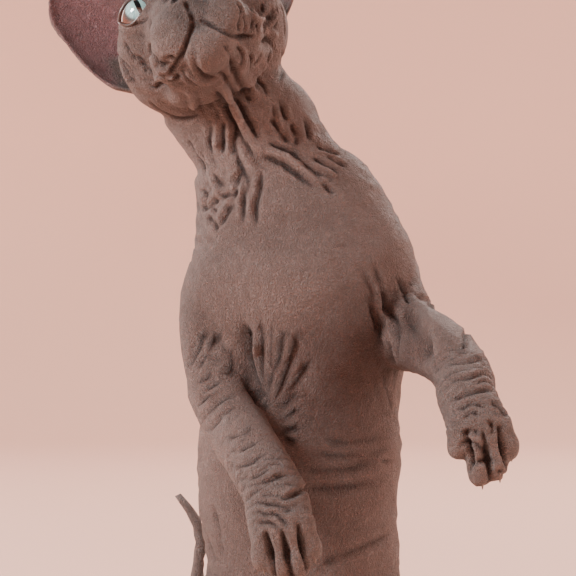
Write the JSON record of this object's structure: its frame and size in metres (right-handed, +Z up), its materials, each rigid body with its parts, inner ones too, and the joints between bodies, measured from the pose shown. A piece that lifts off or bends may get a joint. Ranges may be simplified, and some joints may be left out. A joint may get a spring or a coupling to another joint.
{
  "type": "sphynx cat model",
  "caption": "Life-size hairless cat sitting up on its haunches, forepaws hanging, head raised and tilted to its right, with large cupped ears, a folded neck and a thin tail.",
  "frame": {"origin": "on the floor, on the flat that the rump rests on, below the middle of the chest", "axes": "+Z up and the longest extent; the cat's chest faces -Y and its left side is +X"},
  "size_m": [0.2443, 0.246, 0.4813],
  "materials": {
    "body_skin": "matte",
    "foreleg_skin": "matte",
    "grey_skin": "matte",
    "ear_skin": "satin",
    "eye": "gloss",
    "claw": "satin"
  },
  "bodies": {
    "root": {"torso": "body_skin", "neck": "body_skin", "upper_arm_left": "body_skin", "upper_arm_right": "body_skin", "thigh_left": "body_skin", "thigh_right": "body_skin", "shank_left": "body_skin", "shank_right": "body_skin", "tail_root": "body_skin", "forearm_left": "foreleg_skin", "forearm_right": "foreleg_skin", "head": "grey_skin", "forepaw_left": "grey_skin", "forepaw_right": "grey_skin", "hind_foot_left": "grey_skin", "hind_foot_right": "grey_skin", "tail_middle": "grey_skin", "tail_tip": "grey_skin", "ear_left": "ear_skin", "ear_right": "ear_skin", "eye_left": "eye", "eye_right": "eye", "foreclaw_left_1": "claw", "foreclaw_left_2": "claw", "foreclaw_left_3": "claw", "foreclaw_left_4": "claw", "foreclaw_right_1": "claw", "foreclaw_right_2": "claw", "foreclaw_right_3": "claw", "foreclaw_right_4": "claw", "hind_claw_left_1": "claw", "hind_claw_left_2": "claw", "hind_claw_left_3": "claw", "hind_claw_left_4": "claw", "hind_claw_right_1": "claw", "hind_claw_right_2": "claw", "hind_claw_right_3": "claw", "hind_claw_right_4": "claw"}
  },
  "joints": []
}
